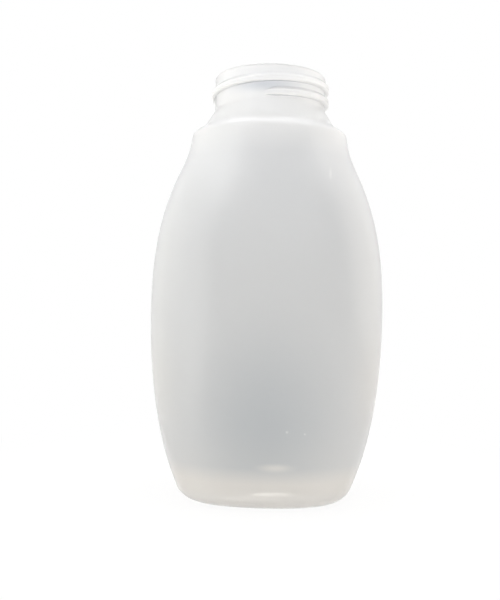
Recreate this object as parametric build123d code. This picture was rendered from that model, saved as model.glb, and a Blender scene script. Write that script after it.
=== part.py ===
from build123d import *
import os
from math import radians, sqrt, tan

# Squeeze bottle for honey, blow-moulded in one piece from natural, unpigmented polyethylene.
# Millimetres, +Z up. X runs across the bottle's width and -Y faces the viewer. The origin is the
# centre of the foot, on the plane that the bottle stands on.

# Barrel-shaped body, as outer sizes
foot_width = 52.2
foot_depth = 38.0
belly_width = 73.3
belly_depth = 47.0
belly_height = 57.5
shoulder_height = 113.0
body_wall = 1.0
foot_round = 6.2

# The barrel's outline between the foot, the belly and the shoulder: each pair is a share of the
# height between two of them, and a share of the way out from the narrower one to the belly
lower_outline_shares = ((0.17, 0.37), (0.43, 0.74))
upper_outline_shares = ((0.40, 0.87), (0.76, 0.38), (0.91, 0.09))

# Weight of an oval's corners: a true ellipse, and the ovals of the foot, belly and shoulder
ellipse_share = sqrt(0.5)
foot_fullness_share = 1.03
belly_fullness_share = 1.00
shoulder_fullness_share = 0.72

# Shoulder, as what it stands out from the neck, and its flare up to the neck's root
shoulder_side_step = 7.1
shoulder_front_step = 2.1
flare_height = 8.6
flare_round = 1.2

# The shoulder's outline from its foot up to the neck: each row is a share of the flare's height,
# and what is left of the step at the sides and at front and back, as shares of it
flare_outline_shares = (
    (0.12, 0.95, 0.94),
    (0.23, 0.80, 0.67),
    (0.36, 0.54, 0.41),
    (0.51, 0.36, 0.32),
    (0.72, 0.20, 0.19),
    (0.88, 0.07, 0.08),
    (1.00, 0.00, 0.00),
)

# Neck for a 38 mm screw cap
neck_root_diameter = 35.0
neck_wall = 2.0
neck_height = 10.2
rim_round = 0.4

# Screw thread: one ridge that starts at the front, low on the neck, and winds up to the right
thread_pitch = 4.23
thread_depth = 1.2
thread_root_width = 2.7
thread_crest_width = 1.1
thread_crest_round = 0.4
thread_top_gap = 1.15
thread_foot_gap = 0.26
thread_start_angle = -96.0
thread_run_out_angle = 14.0
thread_bite = 0.6
thread_sink = 0.15

# Each end of the thread: a share of the way along it, and the share of the full depth there
run_out_shares = ((0, 0), (0.35, 0.55), (0.70, 0.90), (1, 1))

# Foot: floor, the ring that it stands on, the push-up inside the ring, and the seam across it
# where the mould pinched the tube shut
floor_wall = 1.4
standing_ring_width = 2.0
push_up_height = 2.4
push_up_slope = 50.0
push_up_round = 1.2
pinch_seam_width = 0.9
pinch_seam_height = 0.5

# Length by which a cutting solid runs past what it cuts, and half the height of the slice in
# which the edges at one height are looked for
overrun = 5.0
slice_reach = 0.01

neck_radius = neck_root_diameter / 2
bore_radius = neck_radius - neck_wall
neck_bottom = shoulder_height + flare_height
rim_height = neck_bottom + neck_height


def between(low, high, share):
    return low + (high - low) * share


def edges_at(solid, height):
    """The edges that lie level at one height."""
    return solid.edges().filter_by_position(Axis.Z, height - slice_reach, height + slice_reach)


def oval(width, depth, fullness, height):
    """A level oval face of four quarters, squarer with a larger fullness."""
    a, b = width / 2, depth / 2
    tips = [(a, 0), (0, b), (-a, 0), (0, -b), (a, 0)]
    corners = [(a, b), (-a, b), (-a, -b), (a, -b)]
    quarters = [
        Bezier(tips[i], corner, tips[i + 1], weights=[1, fullness, 1])
        for i, corner in enumerate(corners)
    ]
    return Pos(0, 0, height) * Face(Wire(quarters))


def body_sections(inset, floor):
    """The barrel's ovals from floor to shoulder, each drawn in by inset on every side."""
    foot = (foot_width, foot_depth, foot_fullness_share)
    belly = (belly_width, belly_depth, belly_fullness_share)
    shoulder = (
        neck_root_diameter + 2 * shoulder_side_step,
        neck_root_diameter + 2 * shoulder_front_step,
        shoulder_fullness_share,
    )
    stations = [(floor, foot)]
    for rise, swell in lower_outline_shares:
        sizes = [between(low, high, swell) for low, high in zip(foot, belly)]
        stations.append((between(0, belly_height, rise), sizes))
    stations.append((belly_height, belly))
    for rise, swell in upper_outline_shares:
        sizes = [between(low, high, swell) for low, high in zip(shoulder, belly)]
        stations.append((between(belly_height, shoulder_height, rise), sizes))
    stations.append((shoulder_height, shoulder))
    return [
        oval(width - 2 * inset, depth - 2 * inset, fullness, height)
        for height, (width, depth, fullness) in stations
    ]


def flare_sections(inset, throat_radius):
    """The shoulder's ovals above the barrel, from its foot up to a throat of the given radius."""
    side = neck_radius + shoulder_side_step - inset
    front = neck_radius + shoulder_front_step - inset
    return [
        oval(
            2 * between(throat_radius, side, side_share),
            2 * between(throat_radius, front, front_share),
            between(shoulder_fullness_share, ellipse_share, rise),
            between(shoulder_height, neck_bottom, rise),
        )
        for rise, side_share, front_share in flare_outline_shares
    ]


def skin(inset, throat_radius, floor, top):
    """The body drawn in by inset, from floor up through the flare and the neck to top."""
    sections = body_sections(inset, floor)
    neck = Cylinder(throat_radius, top - neck_bottom, align=(Align.CENTER, Align.CENTER, Align.MIN))
    flare = loft([sections[-1]] + flare_sections(inset, throat_radius))
    body = loft(sections) + flare + Pos(0, 0, neck_bottom) * neck
    body = fillet(edges_at(body, floor), foot_round - inset)
    return fillet(edges_at(body, neck_bottom), flare_round + inset)


def push_up(lift, spread):
    """The dome that the foot is pushed up by, raised by lift and wider all round by spread."""
    edge = foot_round + standing_ring_width
    slant = push_up_height / tan(radians(push_up_slope))
    dome = loft([
        oval(foot_width - 2 * inset, foot_depth - 2 * inset, foot_fullness_share, height)
        for inset, height in ((edge - spread, lift), (edge - spread + slant, lift + push_up_height))
    ])
    return fillet(edges_at(dome, lift + push_up_height), push_up_round + lift)


def thread_section(angle, depth_share):
    """The ridge's section, an angle along its helix and at a share of its full depth."""
    root, crest = thread_root_width / 2, thread_crest_width / 2
    base = crest + (root - crest) * (thread_depth + thread_bite) / thread_depth
    top = between(-thread_sink, thread_depth, depth_share)
    outline = Polyline(
        (-thread_bite, -base), (top, -crest), (top, crest), (-thread_bite, base), close=True
    )
    section = make_face(outline)
    section = Plane.XZ * fillet(section.vertices().group_by(Axis.X)[-1], thread_crest_round)
    section = Pos(neck_radius, 0, thread_low + thread_pitch * angle / 360) * section
    return Rot(0, 0, thread_start_angle + angle) * section


def thread():
    """The ridge swept along its helix, with both ends sinking into the neck."""
    low_end, high_end = thread_run_out_angle, thread_angle - thread_run_out_angle
    helix = Helix(thread_pitch, thread_pitch * (high_end - low_end) / 360, neck_radius)
    helix = Pos(0, 0, thread_low + thread_pitch * low_end / 360) * helix
    helix = Rot(0, 0, thread_start_angle + low_end) * helix
    ridge = sweep(thread_section(low_end, 1), path=helix, is_frenet=True)
    for tip, full in ((0, low_end), (thread_angle, high_end)):
        end = loft([
            thread_section(between(tip, full, way), depth_share)
            for way, depth_share in run_out_shares
        ])
        ridge += end
    return ridge


thread_low = neck_bottom + thread_foot_gap + thread_root_width / 2
thread_high = rim_height - thread_top_gap - thread_root_width / 2
thread_angle = 360 * (thread_high - thread_low) / thread_pitch

outer = skin(0, neck_radius, 0, rim_height) + thread()
cavity = skin(body_wall, bore_radius, floor_wall, rim_height + overrun)
cavity -= push_up(floor_wall, floor_wall * tan(radians(push_up_slope / 2)))
seam = Box(foot_width, pinch_seam_width, 2 * pinch_seam_height)
recess = push_up(0, 0) - Pos(0, 0, push_up_height) * seam
bottle = outer - cavity - recess
bottle = fillet(edges_at(bottle, rim_height), rim_round)

os.makedirs("parts", exist_ok=True)
export_step(bottle, "parts/bottle.step")
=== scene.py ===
import bpy
import math
import numpy as np
from mathutils import Matrix, Quaternion, Vector, noise


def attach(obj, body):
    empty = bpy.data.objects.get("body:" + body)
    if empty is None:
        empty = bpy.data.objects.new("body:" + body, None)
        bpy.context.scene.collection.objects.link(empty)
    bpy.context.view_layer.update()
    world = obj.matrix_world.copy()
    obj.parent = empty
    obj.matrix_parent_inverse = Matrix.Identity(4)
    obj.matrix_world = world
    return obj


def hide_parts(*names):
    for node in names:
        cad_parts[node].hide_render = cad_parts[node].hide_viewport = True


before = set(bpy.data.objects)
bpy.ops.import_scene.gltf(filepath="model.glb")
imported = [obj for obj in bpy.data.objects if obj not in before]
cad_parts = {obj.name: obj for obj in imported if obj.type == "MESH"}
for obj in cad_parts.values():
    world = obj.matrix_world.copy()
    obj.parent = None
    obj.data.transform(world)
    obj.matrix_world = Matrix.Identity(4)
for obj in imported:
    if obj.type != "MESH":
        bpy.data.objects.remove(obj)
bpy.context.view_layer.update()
bpy.context.scene.view_settings.view_transform = "Standard"

# Sizes of the bottle in millimetres, as the CAD part has them. +Z up, -Y is the front, and the
# origin is the centre of the foot, on the plane that the bottle stands on. The foot, the belly and
# the shoulder are each a half-width, a half-depth and a weight that says how square the oval is.
MM = 0.001
foot = np.array((26.1, 19.0, 1.03))
belly = np.array((36.65, 23.5, 1.00))
shoulder = np.array((24.6, 19.6, 0.72))
neck_radius, bore_radius = 17.5, 15.5
belly_height, shoulder_height, neck_bottom, rim_height = 57.5, 113.0, 121.6, 131.8
body_wall, floor_wall = 1.0, 1.4
foot_round, flare_round, rim_round = 6.2, 1.2, 0.4

# The outline's shares of the way from one of these sizes to the next, as the CAD part has them
lower_outline_shares = ((0.17, 0.37), (0.43, 0.74))
upper_outline_shares = ((0.40, 0.87), (0.76, 0.38), (0.91, 0.09))
flare_outline_shares = (
    (0.12, 0.95, 0.94), (0.23, 0.80, 0.67), (0.36, 0.54, 0.41), (0.51, 0.36, 0.32),
    (0.72, 0.20, 0.19), (0.88, 0.07, 0.08), (1.00, 0.00, 0.00),
)
ellipse_weight = math.sqrt(0.5)

# Screw thread, as the CAD part has it, with angles in degrees
thread_pitch, thread_depth, thread_root = 4.23, 1.2, 2.7
thread_foot_gap, thread_top_gap = 0.26, 1.15
thread_low = neck_bottom + thread_foot_gap + thread_root / 2
thread_high = rim_height - thread_top_gap - thread_root / 2
thread_start, thread_run_out, thread_bite, thread_sink = -96.0, 14.0, 0.6, 0.15
thread_turn = 360 * (thread_high - thread_low) / thread_pitch

# The mesh is shaped by the thread from this far below the neck's bottom to this far below the rim
thread_zone_overlap, thread_rim_gap = 1.0, 0.6

# The ridge's section as the photo shows it, within the CAD part's turns: the heights of the crest's
# two edges from the ridge's middle line, a short steep flank below and a long one above, a shallow
# groove along the crest, and the softness of the crest's edges and of the ridge's root
crest_low, crest_high = -0.75, 0.62
flank_below, flank_above = 0.27, 1.13
crest_groove, groove_half_width = 0.09, 0.32
crest_softness, root_softness = 0.16, 0.10

# Both ends of the thread: shares of the way along the run-out, and of the full depth there
run_out_shares = ((0, 0.35, 0.70, 1), (0, 0.55, 0.90, 1))

# Push-up under the foot, with the ring round it and the flat of its ceiling
ring_width, push_up_height, push_up_slope, push_up_round = 2.0, 2.4, math.radians(50), 1.2
ring_round, inner_ring_round = 0.45, 0.5
ring_flat, ceiling_flat = 1.2, 2.2

# Seam across the foot, where the mould pinched the tube shut, and how far out it may run
pinch_half_width, pinch_height, pinch_softness, pinch_steepness = 0.45, 0.5, 0.12, 1.5
pinch_reach = 24.0

# Parting line down both narrow sides: its ridge, the dent that it rises from, and its ends
parting_half_width, parting_height, parting_dent = 0.16, 0.10, 6.0
parting_foot_gap, parting_foot_fade = 0.5, 3.0
parting_rim_gap, parting_rim_fade = 0.7, 0.5

# The inside wanders by wall_drift in slow waves, which are longer up the bottle than round it
wall_drift, wave_size, wave_squash, wave_seed = 0.10, 14.0, 0.35, 3.0
drift_foot_gap, drift_fade = 4.0, 8.0

# The dressed skin lies this far inside the CAD part's
skin_gap = 0.012

# How much a height may be out and still count, and the least distance that is divided by
height_reach, tiny = 0.01, 1e-9

# Camera: the focal length and the axis are in pixels of a picture 500 wide and 600 high, the
# sensor in millimetres, the distance and the height in metres, and the roll in radians
picture_width, picture_height = 500, 600
focal_pixels = 665.0
sensor_size = 36.0
camera_distance, camera_height = 0.2128, 0.0634
axis_pixel = (266.5, 296.0)
camera_roll = 0.0185


def make_camera():
    """A camera at camera_height that sees the bottle's axis, at that height, at axis_pixel."""
    data = bpy.data.cameras.new("camera")
    data.sensor_width = data.sensor_height = sensor_size
    data.lens = data.sensor_height * focal_pixels / picture_height
    data.clip_start = 0.01
    camera = bpy.data.objects.new("camera", data)
    bpy.context.scene.collection.objects.link(camera)
    right = axis_pixel[0] - picture_width / 2
    up = picture_height / 2 - axis_pixel[1]
    level = Quaternion((1, 0, 0), math.radians(90))
    seen = level @ Vector((right, up, -focal_pixels)).normalized()
    turn = seen.rotation_difference(Vector((0, 1, 0)))
    roll = Quaternion((0, 1, 0), -camera_roll)
    place = Matrix.Translation((0, -camera_distance, camera_height))
    camera.matrix_world = place @ (roll @ turn @ level).to_matrix().to_4x4()
    bpy.context.scene.camera = camera


# The bottle's skin is made of level ovals, from the middle of the foot out, up, over the rim and
# back down the inside to the middle of the floor. An oval is a height, a half-width, a half-depth
# and a weight that says how square it is.
class Spline:
    """The smooth line through rows of a height and what belongs to it."""

    def __init__(self, rows):
        rows = np.array(rows, float)
        self.x, self.y = rows[:, 0], rows[:, 1:]
        n, h = len(rows), np.diff(self.x)
        m, r = np.eye(n), np.zeros_like(self.y)
        # the bend at each row makes the slopes on its two sides equal, and both ends have none
        for i in range(1, n - 1):
            m[i, i - 1:i + 2] = h[i - 1], 2 * (h[i - 1] + h[i]), h[i]
            r[i] = 6 * ((self.y[i + 1] - self.y[i]) / h[i] - (self.y[i] - self.y[i - 1]) / h[i - 1])
        self.bend = np.linalg.solve(m, r)

    def __call__(self, at):
        x, y, m = self.x, self.y, self.bend
        i = int(np.clip(np.searchsorted(x, at) - 1, 0, len(x) - 2))
        h, d, e = x[i + 1] - x[i], at - x[i], x[i + 1] - at
        bent = (m[i] * e ** 3 + m[i + 1] * d ** 3) / (6 * h)
        return bent + (y[i] / h - m[i] * h / 6) * e + (y[i + 1] / h - m[i + 1] * h / 6) * d

    def slope(self, at, reach=0.05):
        """The line's slope at a height, taken over a short reach."""
        return (self(at + reach) - self(at - reach)) / (2 * reach)


# The flare's lean is read this far below the neck
lean_reach = 0.3


class Skin:
    """The outside or the inside of the bottle, drawn in by inset, from a floor up to a throat."""

    def __init__(self, inset, throat, floor, corner):
        self.throat, self.floor, self.corner = throat, floor, corner
        self.hollow = flare_round + inset
        drawn_in = np.array((inset, inset, 0))
        rows = [(floor, *(foot - drawn_in))]
        for rise, swell in lower_outline_shares:
            rows.append((belly_height * rise, *(foot + (belly - foot) * swell - drawn_in)))
        rows.append((belly_height, *(belly - drawn_in)))
        for rise, swell in upper_outline_shares:
            height = belly_height + (shoulder_height - belly_height) * rise
            rows.append((height, *(shoulder + (belly - shoulder) * swell - drawn_in)))
        top = shoulder - drawn_in
        rows.append((shoulder_height, *top))
        self.barrel = Spline(rows)
        rows = [(shoulder_height, *top)]
        for rise, side_share, front_share in flare_outline_shares:
            height = shoulder_height + (neck_bottom - shoulder_height) * rise
            wide = throat + (top[0] - throat) * side_share
            deep = throat + (top[1] - throat) * front_share
            rows.append((height, wide, deep, top[2] + (ellipse_weight - top[2]) * rise))
        self.flare = Spline(rows)

    def wall(self, z):
        """Half-width, half-depth and weight with no rounding at the foot and the neck."""
        if z >= neck_bottom:
            return np.array((self.throat, self.throat, ellipse_weight))
        return self.flare(z) if z > shoulder_height else self.barrel(z)

    def oval(self, z):
        """The oval at a height, with the foot rounded and the corner under the neck hollowed."""
        wide, weight = self.wall(z)[:2], self.wall(z)[2]
        # rounded foot
        r, rise = self.corner, z - self.floor
        lean = self.barrel.slope(self.floor + r)[:2]
        secant = np.sqrt(1 + lean * lean)
        arc = self.barrel(self.floor + r)[:2] - r * secant + math.sqrt(max(r * r - (r - rise) ** 2, 0))
        wide = np.where(rise < r - r * lean / secant, arc, wide)
        # hollow corner where the flare meets the neck
        r, lean = self.hollow, self.flare.slope(neck_bottom - lean_reach)[:2]
        secant = np.sqrt(1 + lean * lean)
        middle = neck_bottom + r * (1 - secant) / lean
        arc = self.throat + r - np.sqrt(np.maximum(r * r - (z - middle) ** 2, 0))
        wide = np.where((z > middle + r * lean / secant) & (z < middle), arc, wide)
        return (z, *wide, weight)


def rounded(points, radii, steps=5):
    """A line of (inset, height) points with each inner corner rounded by its radius."""
    points = [np.array(p, float) for p in points]
    line = [points[0]]
    for before, corner, after, radius in zip(points, points[1:], points[2:], radii):
        u, v = before - corner, after - corner
        u, v = u / np.linalg.norm(u), v / np.linalg.norm(v)
        half = math.acos(np.clip(u @ v, -1, 1)) / 2
        cut = radius / math.tan(half)
        centre = corner + (u + v) / np.linalg.norm(u + v) * radius / math.sin(half)
        a, b = corner + u * cut - centre, corner + v * cut - centre
        turn = math.pi - 2 * half
        for k in range(steps + 1):
            t = k / steps
            bent = a * math.sin((1 - t) * turn) + b * math.sin(t * turn)
            line.append(centre + bent / math.sin(turn))
    return line + [points[-1]]


# Shares of the way across the standing ring that have an oval
ring_shares = (0.35, 0.7)


def foot_ovals(lift, spread, edge_round, top_round, standing):
    """Ovals across a foot from the push-up's ceiling out to where the rounding starts."""
    edge = foot_round + ring_width - spread
    ceiling_edge = edge + push_up_height / math.tan(push_up_slope)
    ceiling = lift + push_up_height
    ceiling_end = (ceiling_edge + ceiling_flat, ceiling)
    ring_end = (edge - ring_flat, lift)
    line = rounded(
        [ceiling_end, (ceiling_edge, ceiling), (edge, lift), ring_end],
        [top_round, edge_round],
    )
    ovals = [(z, foot[0] - i, foot[1] - i, foot[2]) for i, z in line]
    last = np.array(ovals[-1][1:3])
    for share in ring_shares:
        ovals.append((lift, *(last + (np.array(standing[1:3]) - last) * share), foot[2]))
    return ovals


def spaced(start, end, step):
    """Even heights from start to end, about a step apart."""
    return list(np.linspace(start, end, max(2, round(abs(end - start) / step) + 1)))


# Ovals of the wall: turns of the foot's rounding in degrees, the barrel's gap above it, top and
# step, then the lowest, the highest and the step on the shoulder, on the flare and at the neck's
# root, and the steps up the neck, which are fine outside for the thread
corner_turns = range(0, 80, 7)
barrel_gap, barrel_top, barrel_step = 1.0, shoulder_height - 1.5, 1.7
close_heights = (
    (shoulder_height - 1.1, shoulder_height + 5.3, 0.2),
    (shoulder_height + 5.6, neck_bottom - 0.6, 0.3),
    (neck_bottom - 0.5, neck_bottom + 0.7, 0.12),
)
thread_step, bore_step = 0.08, 0.6


def wall_ovals(skin, neck_step):
    """Ovals from the foot's rounding up to the top of the neck."""
    heights = [skin.floor + skin.corner * (1 - math.cos(math.radians(t))) for t in corner_turns]
    heights += spaced(heights[-1] + barrel_gap, barrel_top, barrel_step)
    for lowest, highest, step in close_heights:
        heights += spaced(lowest, highest, step)
    heights += spaced(heights[-1] + neck_step, rim_height - rim_round, neck_step)
    return [skin.oval(z) for z in heights]


# Turns of the rim's two roundings, in degrees, and how many ovals the flat between them has
rim_turns, rim_flats = (18, 36, 54, 72, 90), 3


def rim_ovals():
    """Ovals over the rim, from the neck's outside to the bore."""
    turns = np.radians(rim_turns)
    heights = rim_height - rim_round + rim_round * np.sin(turns)
    outer_middle, inner_middle = neck_radius - rim_round, bore_radius + rim_round
    rows = list(zip(heights, outer_middle + rim_round * np.cos(turns)))
    rows += [(rim_height, r) for r in np.linspace(outer_middle, inner_middle, rim_flats + 2)[1:-1]]
    rows += list(zip(heights, inner_middle - rim_round * np.cos(turns)))[::-1]
    return [(z, r, r, ellipse_weight) for z, r in rows]


# Columns: the narrow sides have more of them, closer together at the mould's parting line, and
# the front and the back have even ones. Each is a share of the way from the middle to a corner.
side = [
    0, 0.0015, 0.003, 0.0045, 0.006, 0.008, 0.012, 0.018, 0.026, 0.034,
    0.042, 0.050, 0.058, 0.068, 0.082, 0.1, 0.125, 0.155, 0.19,
]
side_steps, front_steps = 23, 60
side += list(np.linspace(side[-1], 1, side_steps + 1)[1:])
side = np.array([-v for v in reversed(side[1:])] + side)
front = np.linspace(-1, 1, front_steps + 1)


def square_angle(u, v):
    """Angle of a place on a square, so that a square's edge goes once round an oval."""
    if u == 0 and v == 0:
        return 0.0
    if abs(u) >= abs(v):
        return math.pi / 4 * v / u + (math.pi if u < 0 else 0)
    return math.pi / 2 - math.pi / 4 * u / v + (math.pi if v < 0 else 0)


rim_places = [(1.0, v) for v in side[:-1]] + [(u, 1.0) for u in front[:0:-1]]
rim_places += [(-1.0, v) for v in side[:0:-1]] + [(u, -1.0) for u in front[:-1]]
column_angles = np.array([square_angle(u, v) for u, v in rim_places])
columns = len(column_angles)

# An ellipse's angle turned into the place along a quarter's curve
quarter_steps = 2000
quarter = np.linspace(0, 1, quarter_steps + 1)
quarter_x = (1 - quarter) ** 2 + 2 * quarter * (1 - quarter) * ellipse_weight
quarter_y = quarter ** 2 + 2 * quarter * (1 - quarter) * ellipse_weight
quarter_angle = np.arctan2(quarter_y, quarter_x)


def oval_points(z, a, b, w, angles):
    """Points of a level oval, of half-width a, half-depth b and weight w, at its columns' angles."""
    angles = np.mod(angles, 2 * math.pi)
    turn = np.floor(angles / (math.pi / 2)).astype(int) % 4
    rest = angles - turn * math.pi / 2
    t = np.interp(np.where(turn % 2 == 1, math.pi / 2 - rest, rest), quarter_angle, quarter)
    d = (1 - t) ** 2 + 2 * t * (1 - t) * w + t ** 2
    x = a * ((1 - t) ** 2 + 2 * t * (1 - t) * w) / d
    y = b * (t ** 2 + 2 * t * (1 - t) * w) / d
    x = np.where((turn == 1) | (turn == 2), -x, x)
    y = np.where(turn >= 2, -y, y)
    return np.stack([x, y, np.full_like(x, z)], 1)


def bump(distance, half_width):
    """1 in the middle, 0 from half_width out, smooth."""
    t = np.clip(1 - np.abs(distance) / half_width, 0, 1)
    return t * t * (3 - 2 * t)


def soft_min(a, b, softness):
    """The smaller of two, and where they meet a smooth turn from one to the other."""
    h = np.clip(0.5 + 0.5 * (b - a) / softness, 0, 1)
    return b + (a - b) * h - softness * h * (1 - h)


def thread_height(points):
    """How far the screw thread stands out of the neck at each point."""
    x, y, z = points.T
    around = np.mod(np.degrees(np.arctan2(y, x)) - thread_start, 360)
    height = np.full(len(z), -thread_bite)
    for turn in (-360, 0, 360, 720):
        angle = around + turn
        near = np.clip(angle, 0, thread_turn)
        share = np.interp(np.minimum(near, thread_turn - near) / thread_run_out, *run_out_shares)
        top = -thread_sink + (thread_depth + thread_sink) * share
        off = z - thread_low - thread_pitch * near / 360
        below, above = (crest_low - off) / flank_below, (off - crest_high) / flank_above
        flank = top - np.maximum(below, above) * thread_depth
        crest = top - crest_groove * bump(off, groove_half_width) * share
        ridge = soft_min(crest, flank, crest_softness)
        on_thread = (angle >= 0) & (angle <= thread_turn)
        height = np.maximum(height, np.where(on_thread, ridge, -thread_bite))
    # the softness lifts the neck by a quarter of itself where there is no ridge
    return -soft_min(-height, np.zeros(len(z)), root_softness) - root_softness / 4


def waves(points, size, seed):
    """Slow, even noise between about -1 and 1."""
    return np.array([noise.noise(Vector(p) / size + Vector((seed, 0, 0))) for p in points])


def finish_outside(points):
    """Screw thread, parting line and pinch-off seam, as moves of the outside's points."""
    x, y, z = points.T
    reach = np.hypot(x, y)
    out = np.stack([x, y], 1) / np.maximum(reach, tiny)[:, None]
    # screw thread, on the neck but not on the rim's rounding
    on_neck = z > neck_bottom - thread_zone_overlap
    on_thread_zone = on_neck & (z < rim_height - thread_rim_gap)
    height = np.where(on_thread_zone, thread_height(points), 0)
    grown = np.where(on_neck, np.maximum(reach, neck_radius + height), reach)
    x, y = out[:, 0] * grown, out[:, 1] * grown
    # parting line, sunk so that its crest is on the barrel's surface
    above_foot = np.clip((z - parting_foot_gap) / parting_foot_fade, 0, 1)
    below_rim = np.clip((rim_height - parting_rim_gap - z) / parting_rim_fade, 0, 1)
    line = parting_height * (bump(y, parting_half_width) - bump(y, parting_dent))
    x = x + np.sign(x) * np.where(np.abs(y) < parting_dent, line * above_foot * below_rim, 0)
    # seam across the foot
    on_foot = (reach < pinch_reach) & (z < push_up_height + height_reach)
    level = np.clip((z - (push_up_height - pinch_height)) / pinch_height, 0, 1)
    seam = level * np.clip(bump(y, pinch_half_width + pinch_softness) * pinch_steepness, 0, 1)
    z = z - np.where(on_foot, pinch_height * seam, 0)
    return np.stack([x, y, z], 1)


def finish_inside(points):
    """The wall's thickness wanders a little, as a blown wall's does."""
    x, y, z = points.T
    above_foot = np.clip((z - drift_foot_gap) / drift_fade, 0, 1)
    below_shoulder = np.clip((shoulder_height - z) / drift_fade, 0, 1)
    drift = wall_drift * waves(points * (1, 1, wave_squash), wave_size, wave_seed)
    drift = drift * above_foot * below_shoulder
    reach = np.maximum(np.hypot(x, y), tiny)
    return np.stack([x * (1 - drift / reach), y * (1 - drift / reach), z], 1)


def sheet(oval):
    """Points inside an oval on the square's grid, and the place of each in the list."""
    z, a, b, w = oval
    points, index = [], {}
    for i, u in enumerate(front[1:-1], 1):
        for j, v in enumerate(side[1:-1], 1):
            reach = max(abs(u), abs(v))
            angle = np.array([square_angle(u, v)])
            index[i, j] = len(points)
            points.append(oval_points(z, a * reach, b * reach, w, angle)[0])
    return np.array(points), index


def ring_points(ovals):
    """The points of each oval, one for each column."""
    return [oval_points(*oval, column_angles) for oval in ovals]


def skin_faces(low_index, high_index, rows):
    """Faces of the sheet under the foot, the rows of columns after it, and the floor's sheet."""
    ring_place = {}
    for k, (u, v) in enumerate(rim_places):
        ring_place[int(np.argmin(np.abs(front - u))), int(np.argmin(np.abs(side - v)))] = k

    def corner(place, index, sheet_start, row_start):
        """The point at a place of a sheet, which at its edge is one of the row beside it."""
        return row_start + ring_place[place] if place in ring_place else sheet_start + index[place]

    first = len(low_index)
    last = first + (rows - 1) * columns
    faces = []
    for i in range(len(front) - 1):
        for j in range(len(side) - 1):
            square = ((i, j), (i, j + 1), (i + 1, j + 1), (i + 1, j))
            faces.append([corner(place, low_index, 0, first) for place in square])
            faces.append([corner(place, high_index, last + columns, last) for place in reversed(square)])
    for low in range(first, last, columns):
        high = low + columns
        for c in range(columns):
            d = (c + 1) % columns
            faces.append([low + c, low + d, high + d, high + c])
    return faces


def make_bottle():
    """The hollow bottle as one closed skin."""
    outer_skin = Skin(skin_gap, neck_radius, 0.0, foot_round)
    inner_skin = Skin(body_wall, bore_radius, floor_wall, foot_round - body_wall)
    outside = foot_ovals(0.0, 0.0, ring_round, push_up_round, outer_skin.oval(0.0))
    outside += wall_ovals(outer_skin, thread_step)
    spread = floor_wall * math.tan(push_up_slope / 2)
    ceiling_round = push_up_round + floor_wall
    inside = foot_ovals(floor_wall, spread, inner_ring_round, ceiling_round, inner_skin.oval(floor_wall))
    inside += wall_ovals(inner_skin, bore_step)
    rim = rim_ovals()

    low_sheet, low_index = sheet(outside[0])
    high_sheet, high_index = sheet(inside[0])
    outer = np.concatenate([low_sheet] + ring_points(outside))
    inner = np.concatenate(ring_points(reversed(inside)) + [high_sheet])
    middle = np.concatenate(ring_points(rim))
    points = np.concatenate([finish_outside(outer), middle, finish_inside(inner)])
    faces = skin_faces(low_index, high_index, len(outside) + len(rim) + len(inside))

    mesh = bpy.data.meshes.new("bottle_skin")
    mesh.from_pydata((points * MM).tolist(), [], faces)
    mesh.polygons.foreach_set("use_smooth", np.ones(len(faces), bool))
    mesh.validate()
    mesh.update()
    piece = bpy.data.objects.new("bottle_skin", mesh)
    bpy.context.scene.collection.objects.link(piece)
    return piece


# Parts of materials. The nodes work in metres, and the plastic's sizes are named in millimetres.
def new_material(name):
    """A material with its nodes and links."""
    material = bpy.data.materials.new(name)
    material.use_nodes = True
    return material, material.node_tree.nodes, material.node_tree.links


def ramp(nodes, links, source, stops):
    """A colour ramp over a 0 to 1 source."""
    node = nodes.new("ShaderNodeValToRGB")
    elements = node.color_ramp.elements
    while len(elements) < len(stops):
        elements.new(0.5)
    for element, (place, colour) in zip(elements, stops):
        element.position = place
        element.color = (*colour, 1)
    links.new(source, node.inputs[0])
    return node.outputs[0]


def mapped(nodes, links, value, start, end, low=0.0, high=1.0, smooth=False):
    """A value turned into low at start and high at end."""
    node = nodes.new("ShaderNodeMapRange")
    for name, number in (("From Min", start), ("From Max", end), ("To Min", low), ("To Max", high)):
        node.inputs[name].default_value = number
    node.interpolation_type = "SMOOTHSTEP" if smooth else "LINEAR"
    links.new(value, node.inputs["Value"])
    return node.outputs[0]


def combined(nodes, links, one, other, operation="MULTIPLY"):
    """Two values multiplied, or put together by another operation."""
    node = nodes.new("ShaderNodeMath")
    node.operation = operation
    links.new(one, node.inputs[0])
    links.new(other, node.inputs[1])
    return node.outputs[0]


def length(nodes, links, vector):
    """A vector's length."""
    node = nodes.new("ShaderNodeVectorMath")
    node.operation = "LENGTH"
    links.new(vector, node.inputs[0])
    return node.outputs["Value"]


def axes(nodes, links, vector):
    """A vector's X, Y and Z."""
    node = nodes.new("ShaderNodeSeparateXYZ")
    links.new(vector, node.inputs[0])
    return node.outputs


def stretched(nodes, links, places, scale, location=(0, 0, 0)):
    """Places scaled along each axis and moved."""
    node = nodes.new("ShaderNodeMapping")
    node.inputs["Scale"].default_value = scale
    node.inputs["Location"].default_value = location
    links.new(places, node.inputs["Vector"])
    return node.outputs[0]


def noise_value(nodes, links, places, scale, detail):
    """Noise between 0 and 1, finer with a larger scale."""
    node = nodes.new("ShaderNodeTexNoise")
    node.inputs["Scale"].default_value = scale
    node.inputs["Detail"].default_value = detail
    links.new(places, node.inputs["Vector"])
    return node.outputs[0]


def blended(nodes, links, share, under, colour, most=1.0):
    """A colour that turns into another one by a share of at most most."""
    mix = nodes.new("ShaderNodeMix")
    mix.data_type = "RGBA"
    # a mix of colours has them at inputs 6 and 7 and gives its own at output 2
    links.new(mapped(nodes, links, share, 0, 1, 0, most), mix.inputs[0])
    links.new(under, mix.inputs[6])
    mix.inputs[7].default_value = (*colour, 1)
    return mix.outputs[2]


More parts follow.
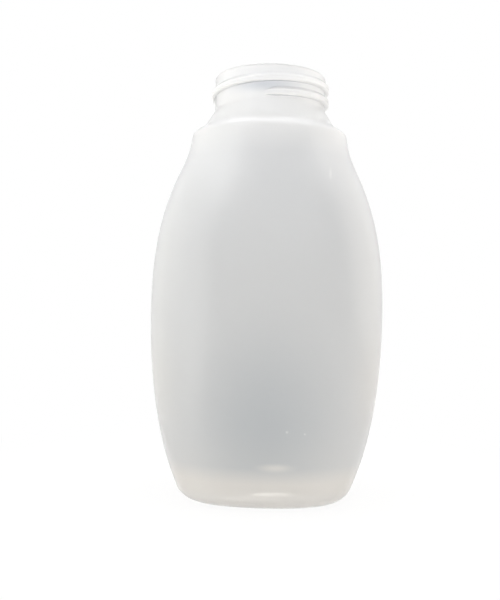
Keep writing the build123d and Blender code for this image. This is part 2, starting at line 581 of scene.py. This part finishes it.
def soft_spot(nodes, links, places, middle, reach):
    """1 at middle, fading smoothly to 0 at reach, both in millimetres. A reach of 0 is any."""
    scale = [1 / (r * MM) if r else 0 for r in reach]
    location = [-m / r if r else 0 for m, r in zip(middle, reach)]
    ball = nodes.new("ShaderNodeTexGradient")
    ball.gradient_type = "SPHERICAL"
    links.new(stretched(nodes, links, places, scale, location), ball.inputs[0])
    return mapped(nodes, links, ball.outputs["Fac"], 0, 1, smooth=True)


# Tones of the plastic up the bottle: a share of its height and the colour there. Darker low on the body
# and lighter towards the shoulder, which is painted shade and light, and whiter on the flare and the
# neck, partly from their thicker wall and partly painted light from above
height_tones = (
    (0.12, (0.866, 0.867, 0.867)),
    (0.30, (0.839, 0.841, 0.842)),
    (0.55, (0.846, 0.849, 0.851)),
    (0.80, (0.859, 0.865, 0.875)),
    (0.86, (0.982, 0.981, 0.981)),
    (0.955, (0.984, 0.984, 0.985)),
    (0.975, (0.945, 0.946, 0.951)),
    (0.988, (0.935, 0.936, 0.942)),
    (0.994, (1.0, 1.0, 1.0)),
)

# Faint streaks, longer up the bottle than round it
streak_scale, streak_detail = (60.0, 60.0, 12.0), 2.0
streak_tone, streak_share = (0.90, 0.92, 0.94), 0.15

# Painted shade, darker low in the middle of the broad faces, and the thick foot, whiter and warm with
# painted light bounced from the floor, with the heights where it begins and where it has its full tone
low_shade_middle, low_shade_reach = (0, 0, 20), (30, 0, 46)
low_shade_tone, low_shade_share = (0.675, 0.70, 0.72), 0.86
foot_top, foot_full = 13.5, 8.5
foot_tone_and_bounce_light = (0.984, 0.960, 0.926)

# The thread's ridge, told by the distance from the axis and the height where it begins and where
# it has its full tone. It is whiter: painted light, as of light shining through the thick ridge
proud_start, proud_full = neck_radius + 0.05, neck_radius + 0.6
high_start, high_full = neck_bottom + 0.2, neck_bottom + 0.7
ridge_glow_tone, ridge_glow_share = (0.985, 0.985, 0.985), 0.8

# Painted highlights on edges and painted shade in hollows, told by the pointiness where they begin
# and where they have their full tone, and undersides, told by how far down they face
edge_start, edge_full = 0.505, 0.53
edge_highlight_tone, edge_highlight_share = (1.0, 1.0, 1.0), 0.9
hollow_start, hollow_full = 0.490, 0.466
hollow_shade_middle, hollow_shade_reach = (0, -17, 126), (18, 40, 40)
hollow_shade_tone = (0.45, 0.46, 0.49)
under_start, under_full = -0.05, -0.35

# Share of the light that the plastic lets through, and what the thread's underside leaves of it
clear_share, underside_share = 0.6, 0.2

# Fine grain of the surface: scale and detail of its noise, and the roughness that it runs through
grain_scale, grain_detail = 90.0, 3.0
smoothest, roughest = 0.26, 0.36

# Spots of painted highlight, painted light and painted shade, and real specks and a scratch: middle
# and reach in millimetres, colour and its share, and the share of the light going through that is
# held back
# painted highlights in the foot: a light oval and a bright curve
foot_oval_highlight = ((3.4, -20, 13.7), (7.5, 12, 1.8), (1.0, 0.975, 0.94), 0.8, 0.0)
foot_curve_highlight = ((2.1, -18.5, 5.8), (10, 14, 1.3), (1.0, 0.975, 0.94), 1.0, 0.6)
# painted highlights, lighter on the shoulder's left and right and down the belly's left
shoulder_left_highlight = ((-13.5, -18, 103), (13, 16, 24), (0.92, 0.925, 0.93), 0.45, 0.35)
belly_left_highlight = ((-21, -18, 62), (9, 14, 56), (0.92, 0.925, 0.93), 0.3, 0.2)
shoulder_right_highlight = ((15, -18, 103), (9, 16, 18), (0.92, 0.925, 0.93), 0.25, 0.2)
# painted light on the neck's root, right of the front
low_neck_light = ((9, -17, 122.5), (16, 12, 4.5), (1.0, 1.0, 1.0), 0.8, 0.0)
# painted light, lighter down the narrow sides and warmer on the right
left_side_light = ((-36, 0, 36), (13, 0, 26), (0.96, 0.955, 0.93), 0.8, 0.0)
right_side_light = ((36, 0, 36), (13, 0, 26), (0.97, 0.95, 0.925), 0.8, 0.0)
# painted shade, darker on the neck's narrow sides
neck_left_shade = ((-17.5, 0, 127), (13, 13, 16), (0.84, 0.845, 0.85), 1.0, 0.0)
neck_right_shade = ((17.5, 1, 127), (13, 13, 16), (0.84, 0.845, 0.85), 1.0, 0.0)
# painted shade, a cool dark patch between the thread's turns at the front
thread_gap_shade = ((-2.0, -17, 125.6), (14, 30, 2.9), (0.74, 0.765, 0.81), 1.0, 0.0)
left_speck = ((6.6, -22, 24.4), (0.6, 6, 0.6), (1.0, 1.0, 1.0), 1.0, 0.0)
right_speck = ((11.75, -22, 23.8), (0.5, 6, 0.5), (1.0, 1.0, 1.0), 1.0, 0.0)
scratch = ((18.1, -17, 99.5), (0.65, 6, 2.8), (1.0, 1.0, 1.0), 1.0, 0.0)
spots = (
    foot_oval_highlight, foot_curve_highlight, shoulder_left_highlight, belly_left_highlight, shoulder_right_highlight, low_neck_light,
    left_side_light, right_side_light, neck_left_shade, neck_right_shade, thread_gap_shade,
    left_speck, right_speck, scratch,
)


def wall_colour(nodes, links, places, height):
    """Tones up the bottle, partly painted light and shade, with faint streaks, painted shade low on the
    broad faces, and the thick foot whiter and warm with painted light bounced from the floor."""
    tones = ramp(nodes, links, mapped(nodes, links, height, 0, rim_height * MM), height_tones)
    drawn_out = stretched(nodes, links, places, streak_scale)
    streaks = noise_value(nodes, links, drawn_out, 1.0, streak_detail)
    colour = blended(nodes, links, streaks, tones, streak_tone, streak_share)
    # painted shade, darker low in the middle of the broad faces
    low_shade = soft_spot(nodes, links, places, low_shade_middle, low_shade_reach)
    colour = blended(nodes, links, low_shade, colour, low_shade_tone, low_shade_share)
    # the foot whiter, as its thick wall is, and warm with painted light bounced from the floor
    thick = mapped(nodes, links, height, foot_top * MM, foot_full * MM)
    return blended(nodes, links, thick, colour, foot_tone_and_bounce_light)


def thread_share(nodes, links, place):
    """1 on the screw thread's ridge and 0 off it."""
    level = nodes.new("ShaderNodeCombineXYZ")
    for axis in "XY":
        links.new(place[axis], level.inputs[axis])
    reach = length(nodes, links, level.outputs[0])
    proud = mapped(nodes, links, reach, proud_start * MM, proud_full * MM)
    high = mapped(nodes, links, place["Z"], high_start * MM, high_full * MM)
    return combined(nodes, links, proud, high)


def add_grain(nodes, links, places, surface):
    """The fine, slightly uneven gloss that a blown surface has."""
    grain = noise_value(nodes, links, places, grain_scale, grain_detail)
    links.new(mapped(nodes, links, grain, 0, 1, smoothest, roughest), surface.inputs["Roughness"])
    relief = nodes.new("ShaderNodeBump")
    relief.inputs["Strength"].default_value = 0.08
    relief.inputs["Distance"].default_value = 0.0002
    links.new(grain, relief.inputs["Height"])
    links.new(relief.outputs[0], surface.inputs["Normal"])


def polyethylene():
    """Milky natural polyethylene, with painted light and shade in its colour: whiter in the thick foot,
    painted highlights on edges, painted light on the thread's ridge and in spots, and painted shade in
    the hollow under the ridge at the front."""
    material, nodes, links = new_material("natural_polyethylene")
    surface = nodes["Principled BSDF"]
    places = nodes.new("ShaderNodeTexCoord").outputs["Object"]
    place = axes(nodes, links, places)
    form = nodes.new("ShaderNodeNewGeometry")
    facing = axes(nodes, links, form.outputs["Normal"])
    under = mapped(nodes, links, facing["Z"], under_start, under_full)
    ridge = thread_share(nodes, links, place)

    colour = wall_colour(nodes, links, places, place["Z"])
    underside = combined(nodes, links, under, ridge)
    clear = mapped(nodes, links, underside, 0, 1, clear_share, clear_share * underside_share)
    # painted highlights, light and shade in spots, and real specks and a scratch
    for middle, reach, tone, share, held_back in spots:
        spot = soft_spot(nodes, links, places, middle, reach)
        colour = blended(nodes, links, spot, colour, tone, share)
        if held_back:
            clear = combined(nodes, links, clear, mapped(nodes, links, spot, 0, 1, 1, 1 - held_back))
    # painted light on the thread's ridge, as of light shining through it
    colour = blended(nodes, links, ridge, colour, ridge_glow_tone, ridge_glow_share)
    # painted highlight: edges whiter by their pointiness
    edge = mapped(nodes, links, form.outputs["Pointiness"], edge_start, edge_full)
    colour = blended(nodes, links, edge, colour, edge_highlight_tone, edge_highlight_share)
    # painted shade: darker in hollows that face down, under the thread's ridge at the front
    hollow = mapped(nodes, links, form.outputs["Pointiness"], hollow_start, hollow_full)
    at_front = soft_spot(nodes, links, places, hollow_shade_middle, hollow_shade_reach)
    hollow = combined(nodes, links, combined(nodes, links, under, hollow), at_front)
    colour = blended(nodes, links, hollow, colour, hollow_shade_tone)

    links.new(colour, surface.inputs["Base Color"])
    links.new(clear, surface.inputs["Transmission Weight"])
    add_grain(nodes, links, places, surface)
    surface.inputs["IOR"].default_value = 1.5
    surface.inputs["Coat Weight"].default_value = 0.35
    surface.inputs["Coat Roughness"].default_value = 0.18
    return material


def light_share(nodes, links):
    """1 for what the camera sees, directly, in gloss or through the plastic."""
    path = nodes.new("ShaderNodeLightPath")
    seen = path.outputs["Is Camera Ray"]
    for kind in ("Is Glossy Ray", "Is Transmission Ray"):
        seen = combined(nodes, links, seen, path.outputs[kind], "MAXIMUM")
    return seen


def mixed_shader(nodes, links, share, one, other, output):
    """One shader that turns into another by a share, linked to the output of that name."""
    mix = nodes.new("ShaderNodeMixShader")
    links.new(share, mix.inputs[0])
    links.new(one, mix.inputs[1])
    links.new(other, mix.inputs[2])
    links.new(mix.outputs[0], nodes[output].inputs[0])


# The floor's tone, the distances between which its shadow fades to white with the share of white
# that the nearer one has, and how far the floor reaches, in metres
floor_tone, floor_roughness = (0.98, 0.96, 0.92, 1), 0.8
shadow_start, shadow_end, shadow_share = 0.03, 0.13, 0.92
floor_reach = 6.0


def floor_material():
    """White to the camera, with the shadow near the bottle kept, and warm to the bottle's foot."""
    material, nodes, links = new_material("floor")
    surface = nodes["Principled BSDF"]
    surface.inputs["Base Color"].default_value = floor_tone
    surface.inputs["Roughness"].default_value = floor_roughness
    white = nodes.new("ShaderNodeEmission")
    white.inputs["Color"].default_value = (1, 1, 1, 1)
    white.inputs["Strength"].default_value = 1.0
    away = length(nodes, links, nodes.new("ShaderNodeTexCoord").outputs["Object"])
    share = mapped(nodes, links, away, shadow_start, shadow_end, shadow_share, 1.0, smooth=True)
    seen = combined(nodes, links, light_share(nodes, links), share)
    mixed_shader(nodes, links, seen, surface.outputs[0], white.outputs[0], "Material Output")
    return material


def make_floor():
    """The ground that the bottle stands on."""
    mesh = bpy.data.meshes.new("floor")
    corners = [(x * floor_reach, y * floor_reach, 0) for x, y in ((-1, -1), (1, -1), (1, 1), (-1, 1))]
    mesh.from_pydata(corners, [], [(0, 1, 2, 3)])
    piece = bpy.data.objects.new("floor", mesh)
    bpy.context.scene.collection.objects.link(piece)
    piece.data.materials.append(floor_material())
    return piece


def make_world():
    """A white studio to the camera and in the bottle's gloss, and a dim, cool one on its surface."""
    world = bpy.data.worlds.new("studio")
    bpy.context.scene.world = world
    world.use_nodes = True
    nodes, links = world.node_tree.nodes, world.node_tree.links
    dim = nodes["Background"]
    dim.inputs["Color"].default_value = (0.96, 0.98, 1, 1)
    dim.inputs["Strength"].default_value = 0.62
    white = nodes.new("ShaderNodeBackground")
    white.inputs["Color"].default_value = (1, 1, 1, 1)
    white.inputs["Strength"].default_value = 1.0
    mixed_shader(nodes, links, light_share(nodes, links), dim.outputs[0], white.outputs[0], "World Output")


# Softboxes, in metres: name, place, the point that it faces, width, height, watts and colour
lamps = (
    ("left_softbox", (-0.45, 0.0, 0.20), (0, 0, 0.05), 0.5, 0.5, 0.95, (1.0, 0.98, 0.92)),
    ("right_softbox", (0.45, 0.0, 0.20), (0, 0, 0.05), 0.5, 0.5, 0.90, (1.0, 0.94, 0.87)),
    ("top_softbox", (0, 0.0, 0.6), (0, 0, 0.1), 0.5, 0.4, 1.65, (1.0, 1.0, 1.0)),
    ("front_softbox", (0, -0.6, 0.35), (0, 0, 0.07), 0.6, 0.4, 0.40, (1.0, 1.0, 1.0)),
    ("left_strip", (-0.384, 0.32, 0.14), (0, 0, 0.07), 0.03, 0.5, 0.07, (1.0, 0.98, 0.95)),
    ("right_strip", (0.384, 0.32, 0.14), (0, 0, 0.07), 0.03, 0.5, 0.07, (1.0, 0.98, 0.95)),
    ("window_softbox", (-0.29, -0.34, 0.33), (0, 0, 0.09), 0.20, 0.24, 0.20, (1.0, 1.0, 1.0)),
)


def make_lamp(name, place, target, width, height, watts, colour):
    """A softbox that faces its target."""
    data = bpy.data.lights.new(name, "AREA")
    data.shape = "RECTANGLE"
    data.size = width
    data.size_y = height
    data.energy = watts
    data.color = colour
    softbox = bpy.data.objects.new(name, data)
    softbox.location = place
    softbox.rotation_euler = (Vector(target) - Vector(place)).to_track_quat("-Z", "Y").to_euler()
    bpy.context.scene.collection.objects.link(softbox)


make_camera()
make_world()
for lamp in lamps:
    make_lamp(*lamp)

bottle = make_bottle()
bottle.data.materials.append(polyethylene())
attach(bottle, "root")
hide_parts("bottle")
floor = make_floor()
